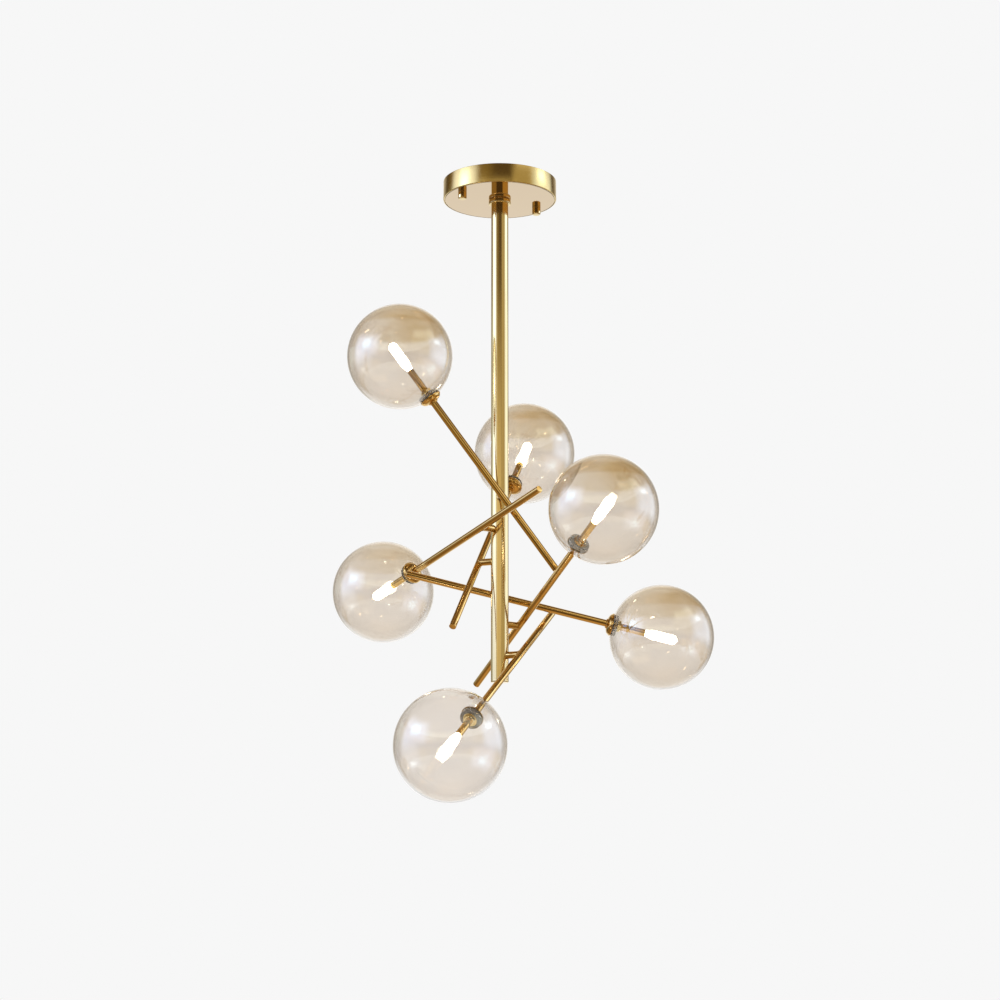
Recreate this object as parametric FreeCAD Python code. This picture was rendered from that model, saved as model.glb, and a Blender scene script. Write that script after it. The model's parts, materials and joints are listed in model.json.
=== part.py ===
"""Branch chandelier: six straight brass arms swivel on a hollow stem, each with a glass globe lamp.

Frame: origin on the ceiling face, on the stem's axis; +Z up, -Y towards the viewer. Millimetres.
Every arm is made alike and then turned to its own heading and rise. Arms are numbered from the
lowest up.
"""

import FreeCAD, Part
import math
import os

os.makedirs("parts", exist_ok=True)

V = FreeCAD.Vector

# ---------------------------------------------------------------- driving dimensions (mm, degrees)

# Canopy and its ceiling bracket
canopy_diameter = 132.0
canopy_height = 22.0
canopy_sheet = 1.2
canopy_edge_radius = 1.5
bracket_width = 18.0
bracket_thickness = 2.0
bracket_heading = 33.0
bracket_end_margin = 7.0
supply_hole_diameter = 12.0
ceiling_hole_spacing = 76.0
ceiling_hole_diameter = 5.0
stud_spacing = 103.0
stud_diameter = 4.0
cap_nut_diameter = 10.0
cap_nut_height = 8.0
cap_nut_end_wall = 1.5
cap_nut_chamfer = 0.8
stud_engagement = 5.5

# Stem and the fittings that hang it
stem_diameter = 20.0
stem_wall = 2.0
stem_length = 566.0
stem_insert_depth = 12.0
end_cap_thickness = 3.0
end_cap_spigot = 8.0
end_cap_edge_radius = 0.8
collar_width = 3.0
collar_height = 5.5
nipple_diameter = 10.0
nipple_bore = 7.0
nipple_engagement = 10.0
nipple_top_stand = 7.8
nipple_washer_diameter = 22.0
nipple_washer_thickness = 1.0
nipple_nut_flats = 14.0
nipple_nut_height = 4.0

# Arms: a tube with a short post brazed across it; the post's neck turns in the stem's wall
arm_diameter = 8.0
arm_wall = 1.0
arm_end_wall = 1.5
arm_tail = 106.0
arm_reach = 196.0
arm_clear_of_stem = 12.0
post_diameter = 8.0
post_bore = 3.6
neck_diameter = 6.0
flange_diameter = 7.8
flange_thickness = 0.8
post_seat_wall = 1.15
lowest_swivel_height = 30.0
swivel_spacing = 36.0
arm_headings = (332.0, 33.5, 98.0, 154.5, 218.5, 272.5)
arm_rises = (-35.7, 33.1, -12.8, 51.0, -14.8, 54.1)

# Globe lamps
globe_diameter = 120.0
globe_glass = 1.5
globe_hole_diameter = 10.0
seal_diameter = 24.0
seal_thickness = 4.9
outer_seal_thickness = 1.0
cup_diameter = 26.0
cup_rim = 1.2
cup_height = 4.2
cup_bulge = 1.0
cup_hub_diameter = 11.2
cup_hub_height = 1.5
globe_washer_diameter = 16.0
globe_washer_thickness = 1.0
globe_nut_flats = 12.0
globe_nut_height = 3.2
tube_past_nut = 2.3
sleeve_diameter = 8.0
sleeve_wall = 0.5
sleeve_length = 27.0
holder_inset = 1.0
holder_spigot = 6.0
bulb_diameter = 11.0
bulb_length = 38.5
bulb_taper_length = 10.0
pin_diameter = 0.7
pin_length = 7.0
pin_root = 1.0
pin_spacing = 4.0

# Lamp leads and what feeds them
arm_lead_diameter = 2.0
stem_lead_diameter = 1.8
stem_lead_circle = 4.8
lead_bend_radius = 2.5
splice_diameter = 9.0
splice_height = 7.0
output_lead_diameter = 3.0
driver_length = 70.0
driver_width = 24.0
driver_height = 13.0
driver_edge_radius = 1.0
terminal_length = 30.0
terminal_width = 16.0
terminal_height = 12.0
terminal_port_diameter = 4.0
terminal_port_depth = 8.0
terminal_ports = 3
supply_units_apart = 28.0
mains_lead_offset = 14.0

# Clearances
thread_clearance = 0.05
swivel_clearance = 0.05
hole_clearance = 0.3
face_clearance = 0.05
pin_clearance = 0.1
bulb_base_clearance = 0.2

# How far a hole's cut starts outside the face it opens, and how near a face an edge counts as on it
overcut = 1.0
face_tolerance = 0.1

# ---------------------------------------------------------------- worked out from them

arm_numbers = range(1, len(arm_headings) + 1)

canopy_radius = canopy_diameter / 2
canopy_floor = -canopy_height + canopy_sheet
stem_radius = stem_diameter / 2
stem_bore_radius = stem_radius - stem_wall
stem_top = -canopy_height
stem_bottom = stem_top - stem_length
nipple_radius = nipple_diameter / 2
arm_radius = arm_diameter / 2
arm_offset = stem_radius + arm_clear_of_stem + arm_radius
post_radius = post_diameter / 2
neck_radius = neck_diameter / 2
post_seat = stem_bore_radius + post_seat_wall
globe_radius = globe_diameter / 2
globe_inner_radius = globe_radius - globe_glass
globe_tube_clear = arm_radius + thread_clearance
seal_face = globe_inner_radius - seal_thickness
nut_face = seal_face - globe_washer_thickness
nut_end = nut_face - globe_nut_height
tube_end = nut_end - tube_past_nut
sleeve_top = tube_end - face_clearance
sleeve_mouth = sleeve_top - sleeve_length
holder_face = sleeve_mouth + holder_inset
holder_radius = sleeve_diameter / 2 - sleeve_wall - face_clearance
arm_bore_radius = arm_radius - arm_wall
flange_seat = math.sqrt(stem_bore_radius ** 2 - (flange_diameter / 2) ** 2) - swivel_clearance
flange_inner = flange_seat - flange_thickness


def save(shape, node):
    """Writes one node's solids to its own file."""
    shape.exportStep("parts/" + node + ".step")


def tube(outer_radius, inner_radius, length, base, axis=V(0, 0, 1)):
    """A straight tube; base is the centre of its first end."""
    outside = Part.makeCylinder(outer_radius, length, base, axis)
    return outside.cut(Part.makeCylinder(inner_radius, length, base, axis))


def hex_nut(flats, height, bore_radius, base, axis=V(0, 0, 1)):
    """A hexagon nut with its corners chamfered at the far end."""
    corner = flats / math.sqrt(3)
    points = []
    for side in range(7):
        turn = math.radians(60 * side)
        points.append(V(corner * math.cos(turn), corner * math.sin(turn), 0))
    prism = Part.Face(Part.makePolygon(points)).extrude(V(0, 0, height))
    chamfer = Part.makeCone(flats / 2 + height, flats / 2, height)
    nut = prism.common(chamfer).cut(Part.makeCylinder(bore_radius, height))
    nut.Placement = FreeCAD.Placement(base, FreeCAD.Rotation(V(0, 0, 1), axis))
    return nut


def round_bar_on(path_points, bend_radius, radius):
    """A round lead along straight runs joined by tangent arcs."""
    edges = []
    start = path_points[0]
    for before, corner, after in zip(path_points, path_points[1:], path_points[2:]):
        back = (before - corner).normalize()
        ahead = (after - corner).normalize()
        half_turn = back.getAngle(ahead) / 2
        reach = bend_radius / math.tan(half_turn)
        enter = corner + back * reach
        leave = corner + ahead * reach
        inward = (back + ahead).normalize()
        middle = corner + inward * (bend_radius / math.sin(half_turn) - bend_radius)
        edges.append(Part.LineSegment(start, enter).toShape())
        edges.append(Part.Arc(enter, middle, leave).toShape())
        start = leave
    edges.append(Part.LineSegment(start, path_points[-1]).toShape())
    heading = path_points[1] - path_points[0]
    section = Part.Wire([Part.makeCircle(radius, path_points[0], heading)])
    return Part.Wire(edges).makePipeShell([section], True, False)


def turned(outline):
    """Turns a closed outline of (along, out) points and arcs about the X axis.

    A point with a third entry "arc" is the middle of an arc from the point before it to the
    point after it.
    """
    edges = []
    count = len(outline)
    index = 0
    while index < count:
        here = outline[index]
        following = outline[(index + 1) % count]
        a = V(here[0], here[1], 0)
        if len(following) == 3:
            beyond = outline[(index + 2) % count]
            middle = V(following[0], following[1], 0)
            edges.append(Part.Arc(a, middle, V(beyond[0], beyond[1], 0)).toShape())
            index += 2
        else:
            edges.append(Part.LineSegment(a, V(following[0], following[1], 0)).toShape())
            index += 1
    return Part.Face(Part.Wire(edges)).revolve(V(0, 0, 0), V(1, 0, 0), 360)


def on_sphere(sphere_radius, out):
    """How far along the arm's axis a sphere about the globe's centre lies at that radius."""
    return math.sqrt(sphere_radius ** 2 - out ** 2)


# ---------------------------------------------------------------- where things go

def bracket_point(along, across, height):
    """A point given along and across the ceiling bracket."""
    turn = math.radians(bracket_heading)
    x = along * math.cos(turn) - across * math.sin(turn)
    y = along * math.sin(turn) + across * math.cos(turn)
    return V(x, y, height)


def bracket_placement(height=0.0):
    return FreeCAD.Placement(V(0, 0, height), FreeCAD.Rotation(V(0, 0, 1), bracket_heading))


def outward(number):
    """The direction in which an arm's post leaves the stem."""
    turn = math.radians(arm_headings[number - 1])
    return V(math.cos(turn), math.sin(turn), 0)


def along_arm(number):
    """The direction of an arm from its swivel to its globe."""
    turn = math.radians(arm_headings[number - 1])
    rise = math.radians(arm_rises[number - 1])
    level = V(math.sin(turn), -math.cos(turn), 0)
    return level * math.cos(rise) + V(0, 0, 1) * math.sin(rise)


def swivel_height(number):
    return stem_bottom + lowest_swivel_height + swivel_spacing * (number - 1)


def swivel_placement(number):
    """Local X runs along the arm to its globe, local Z out of the stem through the post."""
    x_axis = along_arm(number)
    z_axis = outward(number)
    y_axis = z_axis.cross(x_axis)
    turn = FreeCAD.Rotation(x_axis, y_axis, z_axis, "ZXY")
    return FreeCAD.Placement(V(0, 0, swivel_height(number)), turn)


def lamp_placement(number):
    """Local origin at the globe's centre, local X back towards the swivel."""
    x_axis = along_arm(number) * -1
    z_axis = outward(number)
    y_axis = z_axis.cross(x_axis)
    turn = FreeCAD.Rotation(x_axis, y_axis, z_axis, "ZXY")
    centre = V(0, 0, swivel_height(number)) + outward(number) * arm_offset
    return FreeCAD.Placement(centre + along_arm(number) * arm_reach, turn)


def placed(shape, placement):
    moved = shape.copy()
    moved.Placement = placement.multiply(moved.Placement)
    return moved


# ---------------------------------------------------------------- canopy group

def canopy():
    """A spun cup, closed below and open against the ceiling."""
    cup = Part.makeCylinder(canopy_radius, canopy_height, V(0, 0, -canopy_height))
    lower = [e for e in cup.Edges if e.BoundBox.ZMax < -canopy_height / 2 and len(e.Vertexes) == 1]
    cup = cup.makeFillet(canopy_edge_radius, lower)
    inner_radius = canopy_radius - canopy_sheet
    cup = cup.cut(Part.makeCylinder(inner_radius, canopy_height, V(0, 0, canopy_floor)))
    cut_start = -canopy_height - overcut
    cut_depth = canopy_sheet + 2 * overcut
    nipple_hole = nipple_radius + hole_clearance
    cup = cup.cut(Part.makeCylinder(nipple_hole, cut_depth, V(0, 0, cut_start)))
    for side in (-1, 1):
        at = bracket_point(side * stud_spacing / 2, 0, cut_start)
        cup = cup.cut(Part.makeCylinder(stud_diameter / 2 + hole_clearance, cut_depth, at))
    return cup


def canopy_bracket():
    """A flat steel bar with round ends that is screwed to the ceiling."""
    end_radius = bracket_width / 2
    half = stud_spacing / 2 + bracket_end_margin - end_radius
    bar = Part.makeBox(2 * half, bracket_width, bracket_thickness,
                       V(-half, -end_radius, -bracket_thickness))
    holes = [(0, supply_hole_diameter / 2)]
    for side in (-1, 1):
        base = V(side * half, 0, -bracket_thickness)
        bar = bar.fuse(Part.makeCylinder(end_radius, bracket_thickness, base))
        holes.append((side * ceiling_hole_spacing / 2, ceiling_hole_diameter / 2))
        holes.append((side * stud_spacing / 2, stud_diameter / 2 + thread_clearance))
    bar = bar.removeSplitter()
    for along, radius in holes:
        base = V(along, 0, -bracket_thickness)
        bar = bar.cut(Part.makeCylinder(radius, bracket_thickness, base))
    return placed(bar, bracket_placement())


def bracket_studs():
    """Two threaded studs screwed into the bracket, their tops flush with the ceiling."""
    length = canopy_height + stud_engagement - hole_clearance
    studs = []
    for side in (-1, 1):
        at = bracket_point(side * stud_spacing / 2, 0, -canopy_height - stud_engagement)
        studs.append(Part.makeCylinder(stud_diameter / 2, length, at))
    return Part.makeCompound(studs)


def cap_nuts():
    """Two round blind nuts that hold the canopy up on its studs."""
    nuts = []
    for side in (-1, 1):
        low = -canopy_height - cap_nut_height
        at = bracket_point(side * stud_spacing / 2, 0, low)
        nut = Part.makeCylinder(cap_nut_diameter / 2, cap_nut_height, at)
        rim = [e for e in nut.Edges if e.BoundBox.ZMax < low + face_tolerance]
        nut = nut.makeChamfer(cap_nut_chamfer, rim)
        bore_base = at + V(0, 0, cap_nut_end_wall)
        bore = Part.makeCylinder(stud_diameter / 2 + thread_clearance, cap_nut_height, bore_base)
        nuts.append(nut.cut(bore))
    return Part.makeCompound(nuts)


# ---------------------------------------------------------------- stem group

def stem_tube():
    """The hollow stem, with a brazed threaded insert at its top and six seats for the arms."""
    low = stem_bottom + end_cap_thickness
    body = tube(stem_radius, stem_bore_radius, stem_top - low, V(0, 0, low))
    insert = tube(stem_bore_radius, nipple_radius + thread_clearance, stem_insert_depth,
                  V(0, 0, stem_top - stem_insert_depth))
    body = body.fuse(insert).removeSplitter()
    seat_radius = post_radius + hole_clearance
    for number in arm_numbers:
        out = outward(number)
        height = V(0, 0, swivel_height(number))
        seat = Part.makeCylinder(seat_radius, stem_wall + overcut, height + out * post_seat, out)
        hole = Part.makeCylinder(neck_radius + swivel_clearance, stem_radius + overcut, height, out)
        body = body.cut(seat).cut(hole)
    return body


def stem_end_cap():
    """A turned plug that closes the stem's lower end."""
    cap = Part.makeCylinder(stem_radius, end_cap_thickness, V(0, 0, stem_bottom))
    rim = [e for e in cap.Edges if e.BoundBox.ZMax < stem_bottom + face_tolerance]
    cap = cap.makeFillet(end_cap_edge_radius, rim)
    spigot = Part.makeCylinder(stem_bore_radius - face_clearance, end_cap_spigot,
                               V(0, 0, stem_bottom + end_cap_thickness))
    return cap.fuse(spigot).removeSplitter()


def stem_collar():
    """A rounded ring round the stem's top, under the canopy."""
    bore = stem_radius + thread_clearance
    outer = stem_radius + collar_width
    shoulder = stem_radius + collar_width / 2
    high = stem_top
    low = stem_top - collar_height
    middle = (high + low) / 2
    edges = [
        Part.LineSegment(V(bore, 0, high), V(shoulder, 0, high)).toShape(),
        Part.Arc(V(shoulder, 0, high), V(outer, 0, middle), V(shoulder, 0, low)).toShape(),
        Part.LineSegment(V(shoulder, 0, low), V(bore, 0, low)).toShape(),
        Part.LineSegment(V(bore, 0, low), V(bore, 0, high)).toShape(),
    ]
    return Part.Face(Part.Wire(edges)).revolve(V(0, 0, 0), V(0, 0, 1), 360)


def stem_nipple():
    """The threaded tube that joins the stem's insert to the canopy."""
    low = stem_top - nipple_engagement
    high = canopy_floor + nipple_top_stand
    return tube(nipple_radius, nipple_bore / 2, high - low, V(0, 0, low))


def nipple_nut():
    """The nut on the canopy's floor that carries the stem, with its washer."""
    bore = nipple_radius + thread_clearance
    nut_base = V(0, 0, canopy_floor + nipple_washer_thickness)
    washer = tube(nipple_washer_diameter / 2, bore, nipple_washer_thickness, V(0, 0, canopy_floor))
    nut = hex_nut(nipple_nut_flats, nipple_nut_height, bore, nut_base)
    return Part.makeCompound([washer, nut])


# ---------------------------------------------------------------- supply units inside the canopy

def led_driver():
    """The driver's case on the canopy's floor, with the lead that brings it mains."""
    near = supply_units_apart / 2
    case = Part.makeBox(driver_length, driver_width, driver_height,
                        V(-driver_length / 2, near, canopy_floor))
    upright = [e for e in case.Edges if e.BoundBox.ZLength > driver_height / 2]
    case = case.makeFillet(driver_edge_radius, upright)
    lead_height = canopy_floor + terminal_height / 2
    lead = Part.makeCylinder(output_lead_diameter / 2, supply_units_apart,
                             V(mains_lead_offset, -near, lead_height), V(0, 1, 0))
    return placed(case.fuse(lead), bracket_placement())


def terminal_block():
    """A screw terminal block for the supply, its ports on the far side from the driver."""
    near = supply_units_apart / 2
    block = Part.makeBox(terminal_length, terminal_width, terminal_height,
                         V(-terminal_length / 2 + mains_lead_offset / 2, -near - terminal_width,
                           canopy_floor))
    pitch = terminal_length / terminal_ports
    start = -terminal_length / 2 + mains_lead_offset / 2 + pitch / 2
    for port in range(terminal_ports):
        mouth = V(start + port * pitch, -near - terminal_width, canopy_floor + terminal_height / 2)
        block = block.cut(Part.makeCylinder(terminal_port_diameter / 2, terminal_port_depth,
                                            mouth, V(0, 1, 0)))
    return placed(block, bracket_placement())


def stem_leads():
    """Six leads down the stem, each to its own arm, joined in one splice at the driver's lead."""
    nipple_end = canopy_floor + nipple_top_stand
    splice_base = nipple_end + 2 * face_clearance
    splice = Part.makeCylinder(splice_diameter / 2, splice_height, V(0, 0, splice_base))
    harness = splice
    for number in arm_numbers:
        out = outward(number)
        ring = out * (stem_lead_circle / 2)
        height = swivel_height(number)
        points = [V(0, 0, splice_base + splice_height / 2) + ring, V(0, 0, height) + ring,
                  V(0, 0, height) + out * (flange_inner - face_clearance)]
        harness = harness.fuse(round_bar_on(points, lead_bend_radius, stem_lead_diameter / 2))
    output_height = canopy_floor + driver_height - output_lead_diameter
    output = Part.makeCylinder(output_lead_diameter / 2, supply_units_apart / 2,
                               V(0, 0, output_height), V(0, 1, 0))
    return harness.fuse(placed(output, bracket_placement()))


# ---------------------------------------------------------------- one arm, in its swivel's frame

def arm():
    """The arm's tube and its post, brazed together. The post's neck is flared inside the stem."""
    length = arm_tail + arm_reach - tube_end
    start = V(-arm_tail, 0, arm_offset)
    x_way = V(1, 0, 0)
    z_way = V(0, 0, 1)
    body = Part.makeCylinder(arm_radius, length, start, x_way)
    post = Part.makeCylinder(post_radius, arm_offset - post_seat - face_clearance,
                             V(0, 0, post_seat + face_clearance), z_way)
    neck = Part.makeCylinder(neck_radius, arm_offset - flange_inner, V(0, 0, flange_inner), z_way)
    flange = Part.makeCylinder(flange_diameter / 2, flange_thickness, V(0, 0, flange_inner), z_way)
    body = body.fuse([post, neck, flange])
    bore = Part.makeCylinder(arm_bore_radius, length, start + V(arm_end_wall, 0, 0), x_way)
    wire_way = Part.makeCylinder(post_bore / 2, arm_offset, V(0, 0, 0), z_way)
    return body.cut(bore).cut(wire_way).removeSplitter()


# ---------------------------------------------------------------- one lamp, in its globe's frame

def seat_cup():
    """The turned cup outside the globe that the glass is clamped against."""
    face = globe_radius + outer_seal_thickness + 2 * face_clearance
    rim = cup_diameter / 2
    hub = cup_hub_diameter / 2
    bore = globe_tube_clear
    rim_foot = on_sphere(face, rim)
    shoulder = rim_foot + cup_rim
    hub_foot = shoulder + cup_height
    slope = math.atan2(rim - hub, cup_height)
    dome_along = (shoulder + hub_foot) / 2 + cup_bulge * math.sin(slope)
    dome_out = (rim + hub) / 2 + cup_bulge * math.cos(slope)
    outline = [
        (on_sphere(face, bore), bore),
        (on_sphere(face, (rim + bore) / 2), (rim + bore) / 2, "arc"),
        (rim_foot, rim),
        (shoulder, rim),
        (dome_along, dome_out, "arc"),
        (hub_foot, hub),
        (hub_foot + cup_hub_height, hub),
        (hub_foot + cup_hub_height, bore),
    ]
    return turned(outline)


def globe():
    """A blown glass globe with one round hole at the arm."""
    shell = Part.makeSphere(globe_radius).cut(Part.makeSphere(globe_inner_radius))
    hole = Part.makeCylinder(globe_hole_diameter / 2, globe_radius + overcut, V(0, 0, 0),
                             V(1, 0, 0))
    return shell.cut(hole)


def globe_seals():
    """Two clear silicone seals, one each side of the glass."""
    bore = globe_tube_clear
    edge = seal_diameter / 2
    inner = globe_inner_radius - face_clearance
    inside = turned([
        (seal_face, bore),
        (on_sphere(inner, bore), bore),
        (on_sphere(inner, (bore + edge) / 2), (bore + edge) / 2, "arc"),
        (on_sphere(inner, edge), edge),
        (seal_face, edge),
    ])
    low = globe_radius + face_clearance
    high = globe_radius + outer_seal_thickness + face_clearance
    outside = turned([
        (on_sphere(low, bore), bore),
        (on_sphere(low, (bore + edge) / 2), (bore + edge) / 2, "arc"),
        (on_sphere(low, edge), edge),
        (on_sphere(high, edge), edge),
        (on_sphere(high, (bore + edge) / 2), (bore + edge) / 2, "arc"),
        (on_sphere(high, bore), bore),
    ])
    return Part.makeCompound([inside, outside])


def globe_nut():
    """The nut that clamps the globe, with its washer."""
    washer = tube(globe_washer_diameter / 2, globe_tube_clear, globe_washer_thickness,
                  V(nut_face, 0, 0), V(1, 0, 0))
    nut = hex_nut(globe_nut_flats, globe_nut_height, globe_tube_clear, V(nut_face, 0, 0),
                  V(-1, 0, 0))
    return Part.makeCompound([washer, nut])


def lamp_sleeve():
    """The brass sleeve that carries the arm's line on to the bulb."""
    return tube(sleeve_diameter / 2, sleeve_diameter / 2 - sleeve_wall, sleeve_length,
                V(sleeve_mouth, 0, 0), V(1, 0, 0))


def lampholder():
    """A ceramic two-pin holder in the sleeve, with its own lead back through the arm."""
    x_way = V(1, 0, 0)
    body = Part.makeCylinder(holder_radius, tube_end - face_clearance - holder_face,
                             V(holder_face, 0, 0), x_way)
    spigot = Part.makeCylinder(arm_bore_radius - face_clearance, holder_spigot + face_clearance,
                               V(tube_end - face_clearance, 0, 0), x_way)
    body = body.fuse(spigot)
    for side in (-1, 1):
        at = V(holder_face, side * pin_spacing / 2, 0)
        body = body.cut(Part.makeCylinder(pin_diameter / 2 + pin_clearance,
                                          pin_length + pin_clearance, at, x_way))
    lead_end = -(arm_offset - flange_inner - face_clearance)
    lead_start = tube_end + holder_spigot / 2
    points = [V(lead_start, 0, 0), V(arm_reach, 0, 0), V(arm_reach, 0, lead_end)]
    return body.fuse(round_bar_on(points, lead_bend_radius, arm_lead_diameter / 2))


def bulb():
    """A two-pin capsule bulb."""
    base = holder_face - face_clearance
    base_radius = sleeve_diameter / 2 - sleeve_wall - bulb_base_clearance
    neck = sleeve_mouth - face_clearance
    radius = bulb_diameter / 2
    full = neck - bulb_taper_length
    tip = sleeve_mouth - bulb_length
    shoulder = tip + radius
    halfway = radius * math.sqrt(0.5)
    outline = [
        (base, 0),
        (base, base_radius),
        (neck, base_radius),
        (full, radius),
        (shoulder, radius),
        (shoulder - halfway, halfway, "arc"),
        (tip, 0),
    ]
    body = turned(outline)
    for side in (-1, 1):
        at = V(base - pin_root, side * pin_spacing / 2, 0)
        pin = Part.makeCylinder(pin_diameter / 2, pin_root + pin_length, at, V(1, 0, 0))
        body = body.fuse(pin)
    return body


# ---------------------------------------------------------------- every piece to its own file

for node, shape in (
    ("canopy", canopy()),
    ("canopy_bracket", canopy_bracket()),
    ("bracket_studs", bracket_studs()),
    ("cap_nuts", cap_nuts()),
    ("stem_tube", stem_tube()),
    ("stem_end_cap", stem_end_cap()),
    ("stem_collar", stem_collar()),
    ("stem_nipple", stem_nipple()),
    ("nipple_nut", nipple_nut()),
    ("led_driver", led_driver()),
    ("terminal_block", terminal_block()),
    ("stem_leads", stem_leads()),
):
    save(shape, node)

arm_shape = arm()
lamp_shapes = (
    ("seat_cup", seat_cup()),
    ("globe", globe()),
    ("globe_seals", globe_seals()),
    ("globe_nut", globe_nut()),
    ("lamp_sleeve", lamp_sleeve()),
    ("lampholder", lampholder()),
    ("bulb", bulb()),
)
for number in arm_numbers:
    save(placed(arm_shape, swivel_placement(number)), "arm_" + str(number))
    for name, shape in lamp_shapes:
        save(placed(shape, lamp_placement(number)), name + "_" + str(number))
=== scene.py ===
import json
import math

import bmesh
import bpy
from mathutils import Matrix, Vector


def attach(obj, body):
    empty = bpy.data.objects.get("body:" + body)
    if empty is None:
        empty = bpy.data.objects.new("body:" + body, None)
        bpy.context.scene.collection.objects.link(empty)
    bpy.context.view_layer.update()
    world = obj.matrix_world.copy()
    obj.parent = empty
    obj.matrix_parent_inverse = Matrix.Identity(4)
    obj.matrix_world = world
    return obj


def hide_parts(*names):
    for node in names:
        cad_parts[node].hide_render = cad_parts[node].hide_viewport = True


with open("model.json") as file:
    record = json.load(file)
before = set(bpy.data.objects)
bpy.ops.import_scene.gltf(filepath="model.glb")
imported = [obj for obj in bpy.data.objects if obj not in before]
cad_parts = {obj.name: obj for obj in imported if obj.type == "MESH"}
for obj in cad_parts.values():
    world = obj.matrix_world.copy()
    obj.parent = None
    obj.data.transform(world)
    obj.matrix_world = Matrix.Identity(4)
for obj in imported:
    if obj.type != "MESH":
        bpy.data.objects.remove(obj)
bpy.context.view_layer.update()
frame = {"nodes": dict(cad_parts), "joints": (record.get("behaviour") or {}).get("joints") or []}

scene = bpy.context.scene
mm = 0.001
up = Vector((0, 0, 1))

# ------------ the view
# The camera stands 2.5 m in front of the lamp, a little below its lowest globe, and tilts up.
# Its long lens keeps the stem upright and the canopy's underside in sight.

camera_place = Vector((0.00025, -2.5, -0.890))
camera_tilt = math.radians(90 + 11.54)
camera_lens = 80.75
sensor_width = 36.0


def put_in_scene(name, data):
    """A new object with the given data, in the scene."""
    made = bpy.data.objects.new(name, data)
    scene.collection.objects.link(made)
    return made


camera = put_in_scene("photo_camera", bpy.data.cameras.new("photo_camera"))
camera.data.lens = camera_lens
camera.data.sensor_width = sensor_width
camera.location = camera_place
camera.rotation_euler = (camera_tilt, 0, 0)
scene.camera = camera
scene.view_settings.view_transform = "Standard"

# ------------ the studio
# A pale room: the floor lies a usual ceiling's height below the canopy, and the backdrop is the
# world itself. What shines sees a dim, warm studio round it, with a soft box on either side.

floor_height = -2.4
floor_half_width = 20.0
background_level = 0.93
room_light = 0.55
sun_strength = 1.1
sun_spread = math.radians(35)
sun_turn = (math.radians(24), math.radians(-18), 0)
white = (1, 1, 1, 1)
floor_colour = (0.80, 0.80, 0.80, 1)
floor_glow = 0.245
dome_radius = 5.0
dome_middle = -0.4

# Levels seen in the studio by height, from straight down (-1) to straight up (1).
studio_tint = (1.0, 0.64, 0.29)
studio_levels = ((-1.0, 0.60), (-0.85, 0.34), (-0.6, 0.15), (-0.35, 0.07), (0.0, 0.08),
                 (0.34, 0.08), (0.7, 0.13), (0.9, 0.14), (1.0, 0.30))

# Soft boxes in degrees, 0 towards the camera and 90 to the right. Each has its middle's bearing,
# half its width and how soft its sides are, then the lower edge and the upper edge with how soft
# each of them is, and last its colour.
soft_boxes = (
    ((-78, 27, 12), (0, 12), (33, 9), (1.08, 1.28, 1.90)),
    ((-76, 8, 8), (13, 7), (27, 8), (1.10, 1.80, 2.30)),
    ((-70, 50, 16), (19.3, 0.6), (34, 8), (0.16, 0.12, 0.04)),
    ((-122, 16, 8), (2, 8), (19.3, 0.6), (0.30, 0.34, 0.30)),
    ((98, 24, 12), (-4, 8), (31, 8), (1.12, 1.28, 1.60)),
    ((94, 7, 7), (22, 3), (29, 5), (1.60, 1.90, 2.20)),
    ((126, 12, 8), (-4, 8), (19.3, 0.6), (0.28, 0.30, 0.32)),
    ((62, 28, 6), (31, 6), (46, 6), (0.95, 0.88, 0.70)),
    ((-4, 30, 12), (6, 6), (19.3, 0.6), (0.20, 0.16, 0.08)),
    ((-8, 28, 12), (-2, 5), (15, 5), (0.48, 0.41, 0.26)),
    ((-44, 12, 8), (2, 6), (19.3, 0.6), (0.34, 0.32, 0.24)),
    ((48, 22, 4), (-2, 6), (30, 7), (0.38, 0.32, 0.18)),
    ((-92, 44, 10), (-30, 5), (-12, 5), (0.26, 0.17, 0.05)),
    ((88, 48, 8), (-28, 5), (-9, 5), (0.40, 0.24, 0.06)),
    ((180, 34, 12), (-50, 12), (72, 12), (0.40, 0.39, 0.36)),
    ((180, 15, 8), (-10, 6), (44, 8), (0.50, 0.50, 0.50)),
    ((180, 34, 8), (-34, 5), (-6, 5), (0.38, 0.42, 0.48)),
)


def feed(tree, node, inputs):
    """Sets a node's inputs. Each takes a value, or the output that feeds it."""
    for socket, value in inputs.items():
        if isinstance(value, bpy.types.NodeSocket):
            tree.links.new(value, node.inputs[socket])
        else:
            node.inputs[socket].default_value = value


def shader_node(tree, kind, inputs=None, prefix="ShaderNode", **settings):
    """Adds a node with its settings and inputs."""
    made = tree.nodes.new(prefix + kind)
    for name, value in settings.items():
        setattr(made, name, value)
    feed(tree, made, inputs or {})
    return made


def maths(tree, operation, *values, clamp=False):
    """The result of a maths node on one to three values."""
    return shader_node(tree, "Math", dict(enumerate(values)), operation=operation,
                       use_clamp=clamp).outputs[0]


def vector_maths(tree, operation, *values):
    """The outputs of a maths node on vectors: a vector and a value."""
    return shader_node(tree, "VectorMath", dict(enumerate(values)), operation=operation).outputs


def mapped(tree, value, low, high, to_low=0.0, to_high=1.0, change="LINEAR"):
    """Spreads what lies between low and high over another range."""
    return shader_node(tree, "MapRange", {
        "Value": value, "From Min": low, "From Max": high, "To Min": to_low, "To Max": to_high},
        interpolation_type=change).outputs[0]


def mixed(tree, share, first, second, blend="MIX"):
    """Two colours mixed, or the second added to the first."""
    return shader_node(tree, "Mix", {"Factor": share, "A": first, "B": second},
                       data_type="RGBA", blend_type=blend).outputs[2]


def own_place(tree):
    """The place on the object, in metres."""
    return shader_node(tree, "TexCoord").outputs["Object"]


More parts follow.
